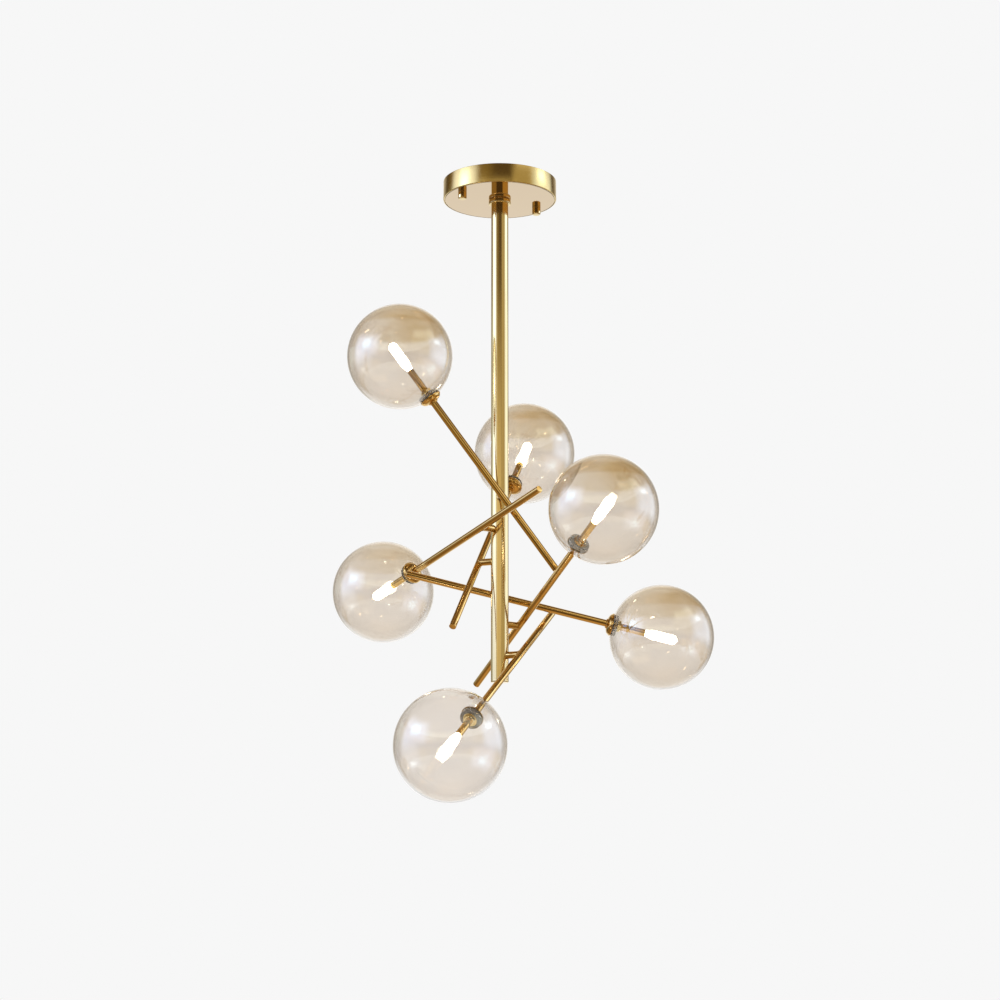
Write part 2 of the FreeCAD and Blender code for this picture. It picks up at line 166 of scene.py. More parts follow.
def seen_as_background(tree):
    """1 for camera, glossy and transmission rays."""
    rays = shader_node(tree, "LightPath").outputs
    seen = maths(tree, "MAXIMUM", rays["Is Camera Ray"], rays["Is Glossy Ray"])
    return maths(tree, "MAXIMUM", seen, rays["Is Transmission Ray"])


def new_material(name):
    """A material, with its tree and its shader."""
    material = bpy.data.materials.new(name)
    material.use_nodes = True
    return material, material.node_tree, material.node_tree.nodes["Principled BSDF"]


def mesh_of(shape):
    """The plain mesh of a bmesh, which is freed."""
    mesh = bpy.data.meshes.new("mesh")
    shape.to_mesh(mesh)
    shape.free()
    return mesh


def sine(degrees):
    return math.sin(math.radians(degrees))


def cosine(degrees):
    return math.cos(math.radians(degrees))


scene.world = bpy.data.worlds.new("pale_room")
scene.world.use_nodes = True
tree = scene.world.node_tree
level = mapped(tree, seen_as_background(tree), 0, 1, room_light, background_level)
feed(tree, tree.nodes["Background"], {"Color": white, "Strength": level})

sun = put_in_scene("soft_sun", bpy.data.lights.new("soft_sun", "SUN"))
sun.data.energy = sun_strength
sun.data.angle = sun_spread
sun.rotation_euler = sun_turn
sun.visible_glossy = False
sun.visible_transmission = False

floor_mesh = bpy.data.meshes.new("studio_floor")
floor_mesh.from_pydata([(floor_half_width * x, floor_half_width * y, floor_height)
                        for x, y in ((-1, -1), (1, -1), (1, 1), (-1, 1))], [], [(0, 1, 2, 3)])
floor = put_in_scene("studio_floor", floor_mesh)
floor.visible_glossy = False
floor_paint, tree, shader = new_material("floor_paint")
feed(tree, shader, {
    "Base Color": floor_colour, "Roughness": 1.0, "Specular IOR Level": 0.0,
    "Emission Color": white,
    "Emission Strength": maths(tree, "MULTIPLY", seen_as_background(tree), floor_glow)})
floor_mesh.materials.append(floor_paint)

# The dome is only there for what shines. Straight through clear glass it looks like the backdrop,
# and in a mirror it shows the studio.
dome_shape = bmesh.new()
bmesh.ops.create_icosphere(dome_shape, subdivisions=4, radius=dome_radius)
dome_mesh = mesh_of(dome_shape)
dome_mesh.transform(Matrix.Translation((0, 0, dome_middle)))
dome = put_in_scene("studio_dome", dome_mesh)
dome.visible_camera = False
dome.visible_diffuse = False
dome.visible_shadow = False
dome_light, tree, shader = new_material("dome_light")
dome_light.cycles.emission_sampling = "NONE"
tree.nodes.remove(shader)
from_middle = vector_maths(tree, "SUBTRACT", own_place(tree), (0, 0, dome_middle))[0]
outward = vector_maths(tree, "NORMALIZE", from_middle)[0]
height = shader_node(tree, "SeparateXYZ", {0: outward}).outputs["Z"]
flat = vector_maths(tree, "MULTIPLY", outward, (1, 1, 0))[0]
facing = vector_maths(tree, "NORMALIZE", flat)[0]
ramp = shader_node(tree, "ValToRGB", {"Fac": mapped(tree, height, -1, 1)})
stops = ramp.color_ramp.elements
for where, grey in studio_levels[1:-1]:
    stops.new(0.5 + where / 2)
for stop, (where, grey) in zip(stops, studio_levels):
    stop.color = (*(grey * channel for channel in studio_tint), 1)
studio = ramp.outputs["Color"]
for (bearing, half_width, side_soft), (low, low_soft), (high, high_soft), colour in soft_boxes:
    middle = (sine(bearing), -cosine(bearing), 0)
    nearness = vector_maths(tree, "DOT_PRODUCT", facing, middle)["Value"]
    above, below, beside = (
        mapped(tree, value, dark, bright, change="SMOOTHSTEP") for value, dark, bright in (
            (height, sine(low - low_soft), sine(low + low_soft)),
            (height, sine(high + high_soft), sine(high - high_soft)),
            (nearness, cosine(half_width + side_soft), cosine(half_width - side_soft))))
    lit = maths(tree, "MULTIPLY", maths(tree, "MULTIPLY", above, below), beside)
    studio = mixed(tree, lit, studio, (*colour, 1), "ADD")
mirrored = shader_node(tree, "LightPath").outputs["Glossy Depth"]
pale = (background_level, background_level, background_level, 1)
emission = shader_node(tree, "Emission", {"Color": mixed(tree, mirrored, pale, studio),
                                          "Strength": 1.0})
feed(tree, tree.nodes["Material Output"], {"Surface": emission.outputs[0]})
dome_mesh.materials.append(dome_light)

# ------------ canopy
# A spun brass cup that closes against the ceiling. Its side is brushed round and round on the
# lathe, its flat underside is polished like a mirror, and both are lacquered. The narrow groove
# near the underside's rim is near black: painted shade, where light cannot reach into it.

canopy_radius = 66 * mm
canopy_height = 22 * mm
canopy_sheet = 1.2 * mm
canopy_edge = 0.9 * mm
canopy_mouth_edge = 0.3 * mm
groove_radius = 64.3 * mm
groove_half_width = 0.45 * mm
groove_half_floor = 0.27 * mm
groove_depth = 0.63 * mm
nipple_hole = 5.3 * mm
stud_hole = 2.3 * mm
stud_circle = 103 * mm / 2
bracket_turn = math.radians(33)
underside_facing = -0.999
sharp_crease = math.radians(32)
same_spot = 1e-4 * mm
upright = Matrix.Rotation(math.radians(-90), 4, "Y")
brass_yellow = (0.87, 0.70, 0.36, 1)
brass_amber = (0.74, 0.50, 0.20, 1)
brass_shadow = (0.10, 0.05, 0.02, 1)
spun_brass = (0.78, 0.60, 0.25, 1)
spun_amber = (0.67, 0.43, 0.14, 1)
polished_gold = (0.80, 0.63, 0.42, 1)


def shader_group(name, inputs, outputs):
    """A shader node group. Inputs are (kind, name, value), with a greatest value for a number."""
    group = bpy.data.node_groups.new(name, "ShaderNodeTree")
    for kind, socket, value, *most in inputs:
        made = group.interface.new_socket(socket, in_out="INPUT", socket_type="NodeSocket" + kind)
        made.default_value = value
        if most:
            made.min_value = 0
            made.max_value = most[0]
    for kind, socket in outputs:
        group.interface.new_socket(socket, in_out="OUTPUT", socket_type="NodeSocket" + kind)
    return group, group.nodes.new("NodeGroupInput").outputs, group.nodes.new("NodeGroupOutput")


def noise(tree, place, scale, detail, **more):
    """Smooth noise in the given coordinates."""
    return shader_node(tree, "TexNoise", {
        "Vector": place, "Scale": scale, "Detail": detail, **more}).outputs["Fac"]


def bumped(tree, height, strength, distance):
    """The normal of a surface with a fine relief."""
    return shader_node(tree, "Bump", {
        "Height": height, "Strength": strength, "Distance": distance}).outputs["Normal"]


def brass_finish_group():
    """Lacquered brass: fine lines left by the polishing wheel, and faint clouding by hands.

    The lines run round a turned piece, so they follow its UV map; the clouding follows the body.
    """
    group, given, result = shader_group(
        "brass_finish",
        (("Color", "Brass", (0.8, 0.6, 0.3, 1)), ("Color", "Deep", (0.7, 0.5, 0.2, 1)),
         ("Float", "Clouding", 0.15, 1), ("Float", "Roughness", 0.1, 1),
         ("Float", "Lines Per Metre", 6000, 100000)),
        (("Color", "Colour"), ("Float", "Roughness"), ("Float", "Height")))
    places = shader_node(group, "TexCoord").outputs
    split = shader_node(group, "SeparateXYZ", {0: places["UV"]}).outputs
    line_place = shader_node(group, "CombineXYZ", {
        "X": maths(group, "MULTIPLY", split["X"], 3.0),
        "Y": maths(group, "MULTIPLY", split["Y"], given["Lines Per Metre"])}).outputs[0]
    lines = noise(group, line_place, scale=1.0, detail=2.0)
    clouds = noise(group, places["Object"], scale=38.0, detail=4.0, Roughness=0.6)
    amount = maths(group, "MULTIPLY", mapped(group, clouds, 0.42, 0.72), given["Clouding"])
    rough = maths(group, "MULTIPLY", given["Roughness"], mapped(group, lines, 0, 1, 0.85, 1.15))
    feed(group, result, {
        "Colour": mixed(group, amount, given["Brass"], given["Deep"]),
        "Roughness": maths(group, "MULTIPLY_ADD", amount, 0.12, rough), "Height": lines})
    return group


brass_finish = brass_finish_group()


def brass(name, colour, deep, roughness, clouding=0.1, lines=3000, relief=0.0):
    """A brass material with its own colours, polish, clouding and polishing lines."""
    material, tree, shader = new_material(name)
    finish = shader_node(tree, "Group", {
        "Brass": colour, "Deep": deep, "Clouding": clouding, "Roughness": roughness,
        "Lines Per Metre": lines}, node_tree=brass_finish).outputs
    feed(tree, shader, {
        "Metallic": 1.0, "Base Color": finish["Colour"], "Roughness": finish["Roughness"],
        "Normal": bumped(tree, finish["Height"], relief, 0.2 * mm)})
    return material


def rounded(corners, steps=5):
    """The points of a path of (along, out, radius) corners. One without a radius stays sharp."""
    points = []
    for index, (along, out, *edge) in enumerate(corners):
        corner = Vector((along, out))
        if not edge:
            points.append(corner)
            continue
        radius = edge[0]
        before = (Vector(corners[index - 1][:2]) - corner).normalized()
        after = (Vector(corners[(index + 1) % len(corners)][:2]) - corner).normalized()
        half = before.angle(after) / 2
        centre = corner + (before + after).normalized() * (radius / math.sin(half))
        start = corner + before * (radius / math.tan(half)) - centre
        end = corner + after * (radius / math.tan(half)) - centre
        for step in range(steps + 1):
            points.append(centre + start.lerp(end, step / steps).normalized() * radius)
    return points


def skinned(rings, closed=True):
    """A shape with a skin from ring to ring of points."""
    shape = bmesh.new()
    corners = [[shape.verts.new(spot) for spot in ring] for ring in rings]
    for here, there in zip(corners, corners[1:] + corners[:closed]):
        for step in range(len(here)):
            following = (step + 1) % len(here)
            shape.faces.new((here[step], here[following], there[following], there[step]))
    return shape


def smoothed(shape, crease):
    """The plain mesh of a shape, smooth but for its creases."""
    bmesh.ops.recalc_face_normals(shape, faces=shape.faces)
    mesh = mesh_of(shape)
    mesh.shade_smooth()
    mesh.set_sharp_from_angle(angle=crease)
    return mesh


def turned(outline, steps=64):
    """Turns (along, out) points about the X axis. UV is the share of a turn, and the way along.

    An outline that begins and ends on the axis stays open there.
    """
    outline = [Vector(point) for point in outline]
    travelled = [0.0]
    for before, after in zip(outline, outline[1:] + outline[:1]):
        travelled.append(travelled[-1] + (after - before).length)
    turns = [2 * math.pi * step / steps for step in range(steps)]
    shape = skinned([[(point.x, point.y * math.cos(turn), point.y * math.sin(turn))
                      for turn in turns] for point in outline],
                    closed=outline[0].y + outline[-1].y > same_spot)
    uv_layer = shape.loops.layers.uv.new("UVMap")
    for index, face in enumerate(shape.faces):
        ring, step = divmod(index, steps)
        shares = (step, step + 1, step + 1, step)
        ways = (ring, ring, ring + 1, ring + 1)
        for loop, share, way in zip(face.loops, shares, ways):
            loop[uv_layer].uv = (share / steps, travelled[way])
    bmesh.ops.remove_doubles(shape, verts=shape.verts, dist=same_spot)
    return smoothed(shape, sharp_crease)


def rod(low, high, radius, steps):
    """A plain round rod along X."""
    return turned(((low, 0), (low, radius), (high, radius), (high, 0)), steps)


def piece(name, mesh, placement, body, materials, replaced=()):
    """Puts a finished mesh in its place, as one piece that rides on a body."""
    mesh.transform(placement)
    mesh.name = name
    made = put_in_scene(name, mesh)
    for material in materials:
        mesh.materials.append(material)
    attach(made, body)
    if replaced:
        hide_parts(*replaced)
    return made


def cut_away(mesh, cutters):
    """Takes cutter meshes out of a mesh and keeps its UV map."""
    whole = put_in_scene("whole", mesh)
    for cutter in cutters:
        cut = whole.modifiers.new("cut", "BOOLEAN")
        cut.operation = "DIFFERENCE"
        cut.solver = "EXACT"
        cut.object = put_in_scene("tool", cutter)
    graph = bpy.context.evaluated_depsgraph_get()
    result = bpy.data.meshes.new_from_object(whole.evaluated_get(graph))
    for cut in list(whole.modifiers):
        bpy.data.objects.remove(cut.object)
    bpy.data.objects.remove(whole)
    result.set_sharp_from_angle(angle=sharp_crease)
    return result


def at_each_stud(make, *sizes):
    """A mesh of the given sizes at each of the two studs, in the canopy's own frame."""
    made = []
    for side in (-1, 1):
        across = Vector((0, math.sin(bracket_turn), -math.cos(bracket_turn))) * stud_circle * side
        mesh = make(*sizes)
        mesh.transform(Matrix.Translation(across))
        made.append(mesh)
    return made


brushed_brass = brass("brushed_brass", spun_brass, spun_amber, roughness=0.15, lines=9000,
                      relief=0.10)
mirror_gold = brass("mirror_gold", polished_gold, brass_yellow, roughness=0.035)
# Painted shade: near-black brass for the groove in the canopy's underside.
groove_shade_brass = brass("groove_shade_brass", brass_shadow, brass_shadow, roughness=0.4, clouding=0.0)

canopy_mesh = turned(rounded([
    (0, canopy_radius, canopy_mouth_edge),
    (-canopy_height, canopy_radius, canopy_edge),
    (-canopy_height, groove_radius + groove_half_width),
    (groove_depth - canopy_height, groove_radius + groove_half_floor),
    (groove_depth - canopy_height, groove_radius - groove_half_floor),
    (-canopy_height, groove_radius - groove_half_width),
    (-canopy_height, nipple_hole),
    (canopy_sheet - canopy_height, nipple_hole),
    (canopy_sheet - canopy_height, canopy_radius - canopy_sheet, canopy_sheet / 2),
    (0, canopy_radius - canopy_sheet, canopy_mouth_edge),
]), 192)
canopy_mesh = cut_away(canopy_mesh, at_each_stud(
    rod, -2 * canopy_height, -canopy_height / 2, stud_hole, 32))
for face in canopy_mesh.polygons:
    from_axis = math.hypot(face.center.y, face.center.z)
    if face.center.x >= canopy_sheet / 2 - canopy_height:
        face.material_index = 0
    # The groove's faces take the painted shade.
    elif abs(from_axis - groove_radius) < groove_half_width:
        face.material_index = 2
    else:
        face.material_index = 1 if face.normal.x < underside_facing else 0
piece("canopy_cup", canopy_mesh, upright, "stem",
      (brushed_brass, mirror_gold, groove_shade_brass), ("canopy",))

# ------------ cap nuts
# Two round blind nuts, turned from brass rod with a chamfered end. They screw onto the studs and
# hold the canopy up.

cap_nut_radius = 5 * mm
cap_nut_height = 8 * mm
cap_nut_chamfer = 0.9 * mm
nut_edge = 0.25 * mm
cap_nut_bore = 2.05 * mm
cap_nut_end_wall = 1.5 * mm
fine_edge = 0.2 * mm
turned_brass = brass("turned_brass", brass_yellow, brass_amber, roughness=0.13, lines=5000,
                     relief=0.03)


def cap_nut():
    end = -canopy_height - cap_nut_height
    return turned(rounded([
        (end, 0),
        (end, cap_nut_radius - cap_nut_chamfer, nut_edge),
        (end + cap_nut_chamfer, cap_nut_radius, nut_edge),
        (-canopy_height, cap_nut_radius, fine_edge),
        (-canopy_height, cap_nut_bore),
        (end + cap_nut_end_wall, cap_nut_bore),
        (end + cap_nut_end_wall, 0),
    ]))


def joined(meshes):
    """One mesh of several."""
    shape = bmesh.new()
    for mesh in meshes:
        shape.from_mesh(mesh)
    return mesh_of(shape)


piece("round_cap_nuts", joined(at_each_stud(cap_nut)), upright, "stem",
      (turned_brass,), ("cap_nuts",))

# ------------ stem
# A drawn brass tube, polished and lacquered, with a flat seat milled for each arm's post. A
# rounded collar hides its top joint, and a turned plug closes its lower end.

stem_radius = 10 * mm
stem_wall = 2 * mm
stem_length = 566 * mm
plug_thickness = 3 * mm
plug_spigot = 8 * mm
plug_edge = 0.8 * mm
spigot_edge = 0.5 * mm
seat_radius = 4.3 * mm
seat_depth_at = 9.15 * mm
insert_depth = 12 * mm
insert_bore = 5.05 * mm
collar_width = 3 * mm
collar_height = 5.5 * mm
collar_edge = 1.6 * mm
joint_line = 0.15 * mm
slide_gap = 0.05 * mm
wall_tolerance = 0.02 * mm
wall_facing = 0.98
stem_top = -canopy_height
stem_bottom = stem_top - stem_length
stem_brass = brass("stem_brass", brass_yellow, brass_amber, roughness=0.12, clouding=0.12,
                   lines=2500, relief=0.015)


def true_round(mesh, radius):
    """Points the corners of faces on a round wall straight out from the X axis."""
    normals = [Vector(corner.vector) for corner in mesh.corner_normals]
    for face in mesh.polygons:
        for loop in face.loop_indices:
            spot = mesh.vertices[mesh.loops[loop].vertex_index].co
            spoke = Vector((0, spot.y, spot.z))
            facing = face.normal.dot(spoke.normalized())
            if abs(spoke.length - radius) < wall_tolerance and abs(facing) > wall_facing:
                normals[loop] = spoke.normalized() * math.copysign(1, facing)
    mesh.normals_split_custom_set(normals)


tube_end = stem_bottom + plug_thickness
stem_bore = stem_radius - stem_wall
stem_mesh = turned(rounded([
    (stem_top, stem_radius, fine_edge),
    (tube_end, stem_radius, joint_line),
    (tube_end, stem_bore),
    (stem_top - insert_depth, stem_bore),
    (stem_top - insert_depth, insert_bore),
    (stem_top, insert_bore),
]), 160)
seat_cutters = []
for joint in frame["joints"]:
    out = -Vector(joint["axis"])
    heading = Matrix.Rotation(math.atan2(out.y, out.x), 4, "Z")
    place = Matrix.Translation((0, 0, joint["pos_m"][2])) @ heading
    seat = rod(seat_depth_at, 2 * stem_radius, seat_radius, 64)
    seat.transform(upright.inverted() @ place)
    seat_cutters.append(seat)
stem_mesh = cut_away(stem_mesh, seat_cutters)
true_round(stem_mesh, stem_radius)
piece("stem", stem_mesh, upright, "stem", (stem_brass,), ("stem_tube",))

plug_mesh = turned(rounded([
    (stem_bottom, 0),
    (stem_bottom, stem_radius, plug_edge),
    (tube_end, stem_radius, joint_line),
    (tube_end, stem_bore - slide_gap),
    (tube_end + plug_spigot, stem_bore - slide_gap, spigot_edge),
    (tube_end + plug_spigot, 0),
]), 96)
piece("stem_plug", plug_mesh, upright, "stem", (turned_brass,),
      ("stem_end_cap",))

collar_mesh = turned(rounded([
    (stem_top, stem_radius + slide_gap),
    (stem_top, stem_radius + collar_width, collar_edge),
    (stem_top - collar_height, stem_radius + collar_width, collar_edge),
    (stem_top - collar_height, stem_radius + slide_gap),
], 12), 128)
piece("collar", collar_mesh, upright, "stem", (turned_brass,),
      ("stem_collar",))

# ------------ what hangs the stem
# A zinc-plated steel bar is screwed to the ceiling. Two threaded studs reach down from it to the
# cap nuts, and a hollow threaded tube with a nut holds the stem in the canopy's floor.

stud_radius = 2 * mm
stud_pitch = 0.7 * mm
stud_low = -27.5 * mm
stud_high = -0.3 * mm
nipple_radius = 5 * mm
nipple_bore = 3.5 * mm
nipple_pitch = 1.0 * mm
nipple_low = -32 * mm
nipple_high = -13 * mm
zinc_light = (0.72, 0.73, 0.75, 1)
zinc_dark = (0.50, 0.52, 0.56, 1)

zinc, tree, shader = new_material("zinc_plate")
spangle = shader_node(tree, "TexVoronoi", {
    "Vector": own_place(tree), "Scale": 260.0}).outputs["Distance"]
feed(tree, shader, {"Metallic": 1.0, "Base Color": mixed(tree, spangle, zinc_light, zinc_dark),
                    "Roughness": mapped(tree, spangle, 0, 1, 0.28, 0.45)})


def geometry_node(tree, kind, inputs=None, **settings):
    """The first output of a node that builds geometry."""
    return shader_node(tree, kind, inputs, "GeometryNode", **settings).outputs[0]


def vector_of(tree, **parts):
    """A vector from its X, Y and Z."""
    return shader_node(tree, "CombineXYZ", parts).outputs[0]


def geometry_group(name, sizes):
    """An empty geometry tree with a named input for each size, and a material."""
    tree = bpy.data.node_groups.new(name, "GeometryNodeTree")
    sockets = [("Geometry", "Geometry", "INPUT"), *((*size, "INPUT") for size in sizes.items()),
               ("Material", "Material", "INPUT"), ("Geometry", "Geometry", "OUTPUT")]
    for socket, kind, way in sockets:
        tree.interface.new_socket(socket, in_out=way, socket_type="NodeSocket" + kind)
    return tree, tree.nodes.new("NodeGroupInput").outputs


def finish_tree(tree, given, geometry):
    """Realizes what the tree made and gives it its material."""
    real = geometry_node(tree, "RealizeInstances", {0: geometry})
    painted = geometry_node(tree, "SetMaterial", {"Geometry": real, "Material": given["Material"]})
    feed(tree, tree.nodes.new("NodeGroupOutput"), {0: painted})
    return tree


def grown(tree, material, sizes):
    """The plain mesh that a geometry tree makes. Its piece lists the material again."""
    values = {**sizes, "Material": material}
    seed = put_in_scene("seed", bpy.data.meshes.new("seed"))
    grow = seed.modifiers.new("grow", "NODES")
    grow.node_group = tree
    for item in tree.interface.items_tree:
        if item.item_type == "SOCKET" and item.in_out == "INPUT" and item.name in values:
            grow[item.identifier] = values[item.name]
    graph = bpy.context.evaluated_depsgraph_get()
    mesh = bpy.data.meshes.new_from_object(seed.evaluated_get(graph))
    bpy.data.objects.remove(seed)
    mesh.materials.clear()
    return mesh


def screw_thread_tree():
    """A V thread wound up the Z axis: one helix of the pitch, swept by a four-sided wire."""
    tree, given = geometry_group("screw_thread", {
        "Radius": "Float", "Pitch": "Float", "Length": "Float"})
    depth = maths(tree, "MULTIPLY", given["Pitch"], 0.5)
    root = maths(tree, "SUBTRACT", given["Radius"], depth)
    helix = geometry_node(tree, "CurveSpiral", {
        "Resolution": 28, "Rotations": maths(tree, "DIVIDE", given["Length"], given["Pitch"]),
        "Start Radius": root, "End Radius": root, "Height": given["Length"]})
    wire = geometry_node(tree, "CurvePrimitiveCircle", {"Resolution": 4, "Radius": depth},
                         mode="RADIUS")
    return finish_tree(tree, given, geometry_node(tree, "CurveToMesh", {
        "Curve": helix, "Profile Curve": wire, "Fill Caps": True}))


screw_thread = screw_thread_tree()


def thread_along(material, start, radius, pitch, length):
    """A screw thread along X."""
    thread = grown(screw_thread, material, {"Radius": radius, "Pitch": pitch, "Length": length})
    thread.transform(Matrix.Translation((start, 0, 0)) @ upright.inverted())
    return thread


def threaded_rod(radius, pitch, low, high, bore=0):
    """A threaded rod or tube along X, from low to high."""
    root = radius - pitch / 2
    if bore:
        core = turned(((low, root), (high, root), (high, bore), (low, bore)), 48)
    else:
        core = rod(low, high, root, 32)
    return joined([core, thread_along(zinc, low + pitch / 2, radius, pitch, high - low - pitch)])


def dress(material, *names):
    """Gives nodes that stay as the frame has them their material."""
    for name in names:
        frame["nodes"][name].data.materials.clear()
        frame["nodes"][name].data.materials.append(material)


studs = at_each_stud(threaded_rod, stud_radius, stud_pitch, stud_low, stud_high)
piece("threaded_studs", joined(studs), upright, "stem", (zinc,),
      ("bracket_studs",))
nipple = threaded_rod(nipple_radius, nipple_pitch, nipple_low, nipple_high, nipple_bore)
piece("threaded_nipple", nipple, upright, "stem", (zinc,), ("stem_nipple",))
dress(zinc, "canopy_bracket", "nipple_nut")

# ------------ supply units and leads
# The driver is a moulded white case with cooling ribs on its lid. The terminal block is moulded
# too, with a brass screw for each wire, and the leads are in silicone rubber.

case_white = (0.86, 0.86, 0.84, 1)
block_white = (0.78, 0.79, 0.76, 1)
lead_white = (0.80, 0.79, 0.76, 1)
canopy_floor = canopy_sheet - canopy_height
driver_width = 24 * mm
driver_height = 13 * mm
driver_near = 14 * mm
rib_count = 9
rib_size = Vector((1.2, 16, 0.6)) * mm
rib_spacing = 5 * mm
screw_radius = 1.6 * mm
screw_height = 0.8 * mm
screw_slot = 0.5 * mm
terminal_pitch = 10 * mm
terminal_middle = Vector((7, -22)) * mm
terminal_height = 12 * mm
terminal_rows = 7 * mm


def moulded(name, colour, roughness, grain):
    """Moulded plastic or rubber: a fine spark-eroded grain and a slightly uneven colour."""
    material, tree, shader = new_material(name)
    fine = noise(tree, own_place(tree), scale=grain, detail=3.0)
    broad = noise(tree, own_place(tree), scale=40.0, detail=2.0)
    shade = (*(channel * 0.88 for channel in colour[:3]), 1)
    feed(tree, shader, {
        "Base Color": mixed(tree, broad, colour, shade),
        "Roughness": mapped(tree, fine, 0, 1, roughness - 0.08, roughness + 0.08),
        "Normal": bumped(tree, fine, 0.25, 0.1 * mm)})
    return material


driver_plastic = moulded("driver_plastic", case_white, roughness=0.45, grain=900.0)
dress(driver_plastic, "led_driver")
dress(moulded("block_plastic", block_white, roughness=0.4, grain=700.0), "terminal_block")
dress(moulded("lead_rubber", lead_white, roughness=0.5, grain=1500.0), "stem_leads")


def span_of(tree, count, spacing):
    """The length of a row."""
    return maths(tree, "MULTIPLY", maths(tree, "SUBTRACT", count, 1.0), spacing)


def rib_tree():
    """Equal bars side by side along X, their middle at the origin."""
    tree, given = geometry_group("cooling_ribs", {
        "Count": "Int", "Spacing": "Float", "Size": "Vector"})
    start = maths(tree, "MULTIPLY", span_of(tree, given["Count"], given["Spacing"]), -0.5)
    row = geometry_node(tree, "MeshLine", {
        "Count": given["Count"], "Start Location": vector_of(tree, X=start),
        "Offset": vector_of(tree, X=given["Spacing"])})
    bar = geometry_node(tree, "MeshCube", {"Size": given["Size"]})
    return finish_tree(tree, given, geometry_node(tree, "InstanceOnPoints", {
        "Points": row, "Instance": bar}))


def screw_head_tree():
    """Slotted cheese-head screws in a grid of columns along X and two rows across."""
    tree, given = geometry_group("terminal_screws", {
        "Columns": "Int", "Pitch": "Float", "Rows Apart": "Float", "Radius": "Float",
        "Height": "Float", "Slot": "Float"})
    grid = geometry_node(tree, "MeshGrid", {
        "Size X": span_of(tree, given["Columns"], given["Pitch"]), "Size Y": given["Rows Apart"],
        "Vertices X": given["Columns"], "Vertices Y": 2})
    head = geometry_node(tree, "MeshCylinder", {
        "Vertices": 32, "Radius": given["Radius"], "Depth": given["Height"]})
    slot_size = vector_of(tree, X=maths(tree, "MULTIPLY", given["Radius"], 3.0),
                          Y=given["Slot"], Z=given["Height"])
    raised = geometry_node(tree, "Transform", {
        "Geometry": geometry_node(tree, "MeshCube", {"Size": slot_size}),
        "Translation": vector_of(tree, Z=maths(tree, "MULTIPLY", given["Height"], 0.5))})
    slotted = geometry_node(tree, "MeshBoolean", {"Mesh 1": head, "Mesh 2": raised},
                            operation="DIFFERENCE", solver="EXACT")
    return finish_tree(tree, given, geometry_node(tree, "InstanceOnPoints", {
        "Points": grid, "Instance": slotted}))


on_bracket = Matrix.Rotation(bracket_turn, 4, "Z")
ribs = grown(rib_tree(), driver_plastic, {
    "Count": rib_count, "Spacing": rib_spacing, "Size": rib_size})
rib_place = Matrix.Translation((0, driver_near + driver_width / 2,
                                canopy_floor + driver_height + rib_size.z / 2))
piece("driver_ribs", ribs, on_bracket @ rib_place, "stem", (driver_plastic,))
screws = grown(screw_head_tree(), turned_brass, {
    "Columns": 3, "Pitch": terminal_pitch, "Rows Apart": terminal_rows, "Radius": screw_radius,
    "Height": screw_height, "Slot": screw_slot})
screw_place = Matrix.Translation((*terminal_middle,
                                  canopy_floor + terminal_height + screw_height / 2))
piece("terminal_screws", screws, on_bracket @ screw_place, "stem",
      (turned_brass,))

# ------------ arms
# Each arm is an 8 mm brass tube with a plugged free end, and a short post brazed square to it.
# The post's neck turns in the stem's seat. Amber lacquer makes the arms deeper than the stem.

arm_radius = 4 * mm
arm_tail = 106 * mm
arm_reach = 196 * mm
arm_offset = 26 * mm
arm_end = 47.35 * mm
arm_tail_edge = 0.5 * mm
brass_edge = 0.3 * mm
plug_line_at = 3.0 * mm
plug_line_depth = 0.08 * mm
post_foot = 9.2 * mm
neck_radius = 3 * mm
flange_radius = 3.9 * mm
flange_low = 6.137 * mm
flange_thickness = 0.8 * mm
bead_radius = 0.55 * mm
arm_rises = (-35.7, 33.1, -12.8, 51.0, -14.8, 54.1)
arm_gold = (0.82, 0.56, 0.21, 1)
arm_deep = (0.64, 0.36, 0.10, 1)
arm_brass = brass("arm_brass", arm_gold, arm_deep, roughness=0.10, clouding=0.25, lines=2500,
                  relief=0.02)
braze_brass = brass("braze_brass", arm_gold, arm_deep, roughness=0.28, clouding=0.5, lines=1500,
                    relief=0.10)


def frame_on(x_axis, z_axis, origin):
    """The placement with the given X and Z directions."""
    turn = Matrix((x_axis, z_axis.cross(x_axis), z_axis)).transposed().to_4x4()
    return Matrix.Translation(origin) @ turn


def saddle_bead_tree():
    """A bead of braze round a post where it meets a tube of the same radius that lies along X."""
    tree, given = geometry_group("saddle_bead", {
        "Radius": "Float", "Tube Height": "Float", "Bead": "Float"})
    circle = geometry_node(tree, "CurvePrimitiveCircle", {
        "Resolution": 64, "Radius": given["Radius"]}, mode="RADIUS")
    spot = shader_node(tree, "SeparateXYZ", {0: geometry_node(tree, "InputPosition")}).outputs
    height = maths(tree, "SUBTRACT", given["Tube Height"], maths(tree, "ABSOLUTE", spot["X"]))
    saddle = geometry_node(tree, "SetPosition", {
        "Geometry": circle, "Position": vector_of(tree, X=spot["X"], Y=spot["Y"], Z=height)})
    bead = geometry_node(tree, "CurvePrimitiveCircle", {
        "Resolution": 12, "Radius": given["Bead"]}, mode="RADIUS")
    return finish_tree(tree, given, geometry_node(tree, "CurveToMesh", {
        "Curve": saddle, "Profile Curve": bead}))


def arm_tube():
    """The tube, with the fine line round it where its end plug begins."""
    line = plug_line_at - arm_tail
    mesh = turned(rounded([
        (-arm_tail, 0),
        (-arm_tail, arm_radius, arm_tail_edge),
        (line - plug_line_depth, arm_radius),
        (line, arm_radius - plug_line_depth),
        (line + plug_line_depth, arm_radius),
        (arm_reach - arm_end, arm_radius, brass_edge),
        (arm_reach - arm_end, 0),
    ]))
    mesh.transform(Matrix.Translation((0, 0, arm_offset)))
    return mesh


